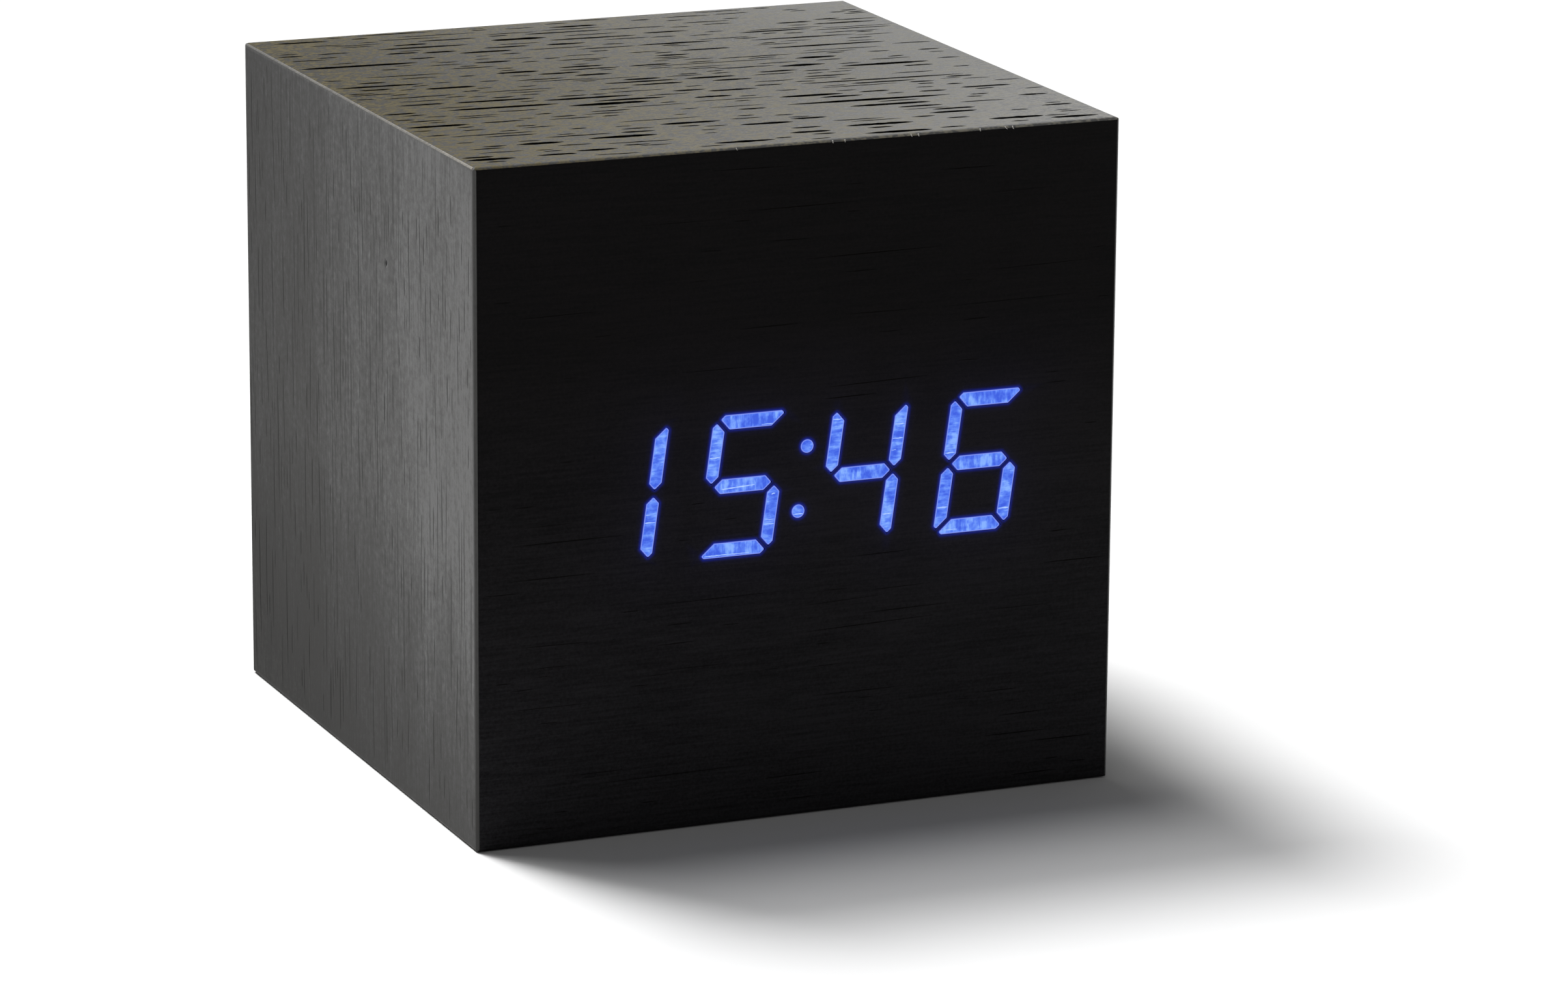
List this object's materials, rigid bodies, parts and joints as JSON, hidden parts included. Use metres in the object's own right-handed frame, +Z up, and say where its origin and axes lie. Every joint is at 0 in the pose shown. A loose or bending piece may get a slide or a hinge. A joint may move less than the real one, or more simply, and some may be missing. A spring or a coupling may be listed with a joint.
{
  "type": "digital alarm clock",
  "caption": "Cube-shaped alarm clock in black wood veneer, with a glowing blue time display behind its front, and buttons, a power socket and a battery door at the back.",
  "frame": {"origin": "middle of the base, on the surface that the clock stands on", "axes": "+Z up, the display faces -Y, +X to the right as the display is read"},
  "size_m": [0.068, 0.068, 0.068],
  "materials": {
    "black_wood": "satin",
    "front_veneer": "satin",
    "block_wood": "matte",
    "blue_light": "satin",
    "clear_resin": "gloss",
    "white_plastic": "satin",
    "circuit_board": "satin",
    "led_chip": "gloss",
    "black_plastic": "satin",
    "button_plastic": "satin",
    "socket_plastic": "satin",
    "chip_plastic": "matte",
    "plunger_plastic": "satin",
    "steel": "satin",
    "contact_brass": "satin",
    "cell_wrap": "gloss",
    "capacitor_sleeve": "satin",
    "foam": "matte",
    "cable_grey": "satin",
    "lead_red": "satin",
    "lead_black": "satin"
  },
  "bodies": {
    "case": {"front_panel": "black_wood", "front_veneer": "front_veneer", "top_panel": "black_wood", "bottom_panel": "black_wood", "left_panel": "black_wood", "right_panel": "black_wood", "corner_blocks": "block_wood", "rear_panel": "black_plastic", "rear_panel_screws": "steel", "lit_segments": "blue_light", "colon_dots": "blue_light", "light_guides": "clear_resin", "display_housing": "white_plastic", "display_board": "circuit_board", "display_leds": "led_chip", "display_screws": "steel", "display_plug": "white_plastic", "flat_cable": "cable_grey", "main_plug": "white_plastic", "main_board": "circuit_board", "main_board_screws": "steel", "microcontroller": "chip_plastic", "led_driver": "chip_plastic", "crystal": "steel", "capacitor": "capacitor_sleeve", "piezo_buzzer": "socket_plastic", "microphone": "steel", "tact_switches": "socket_plastic", "power_socket": "socket_plastic", "socket_pin": "steel", "battery_tray": "black_plastic", "tray_screws": "steel", "battery_contacts": "contact_brass", "battery_springs": "steel", "upper_cell": "cell_wrap", "middle_cell": "cell_wrap", "lower_cell": "cell_wrap", "red_lead": "lead_red", "black_lead": "lead_black"},
    "set_button": {"set_button": "button_plastic", "set_plunger": "plunger_plastic"},
    "up_button": {"up_button": "button_plastic", "up_plunger": "plunger_plastic"},
    "down_button": {"down_button": "button_plastic", "down_plunger": "plunger_plastic"},
    "battery_door": {"battery_door": "black_plastic", "door_foam": "foam"}
  },
  "joints": [
    {"name": "set_press", "type": "slide", "parent": "case", "child": "set_button", "axis": [0, -1, 0], "range_m": [0, 0.0005], "stiffness_N_per_m": 1600},
    {"name": "up_press", "type": "slide", "parent": "case", "child": "up_button", "axis": [0, -1, 0], "range_m": [0, 0.0005], "stiffness_N_per_m": 1600},
    {"name": "down_press", "type": "slide", "parent": "case", "child": "down_button", "axis": [0, -1, 0], "range_m": [0, 0.0005], "stiffness_N_per_m": 1600},
    {"name": "door_swing", "type": "hinge", "parent": "case", "child": "battery_door", "pos_m": [0, 0.0318, 0.0142], "axis": [-1, 0, 0], "range_deg": [0, 90]}
  ]
}
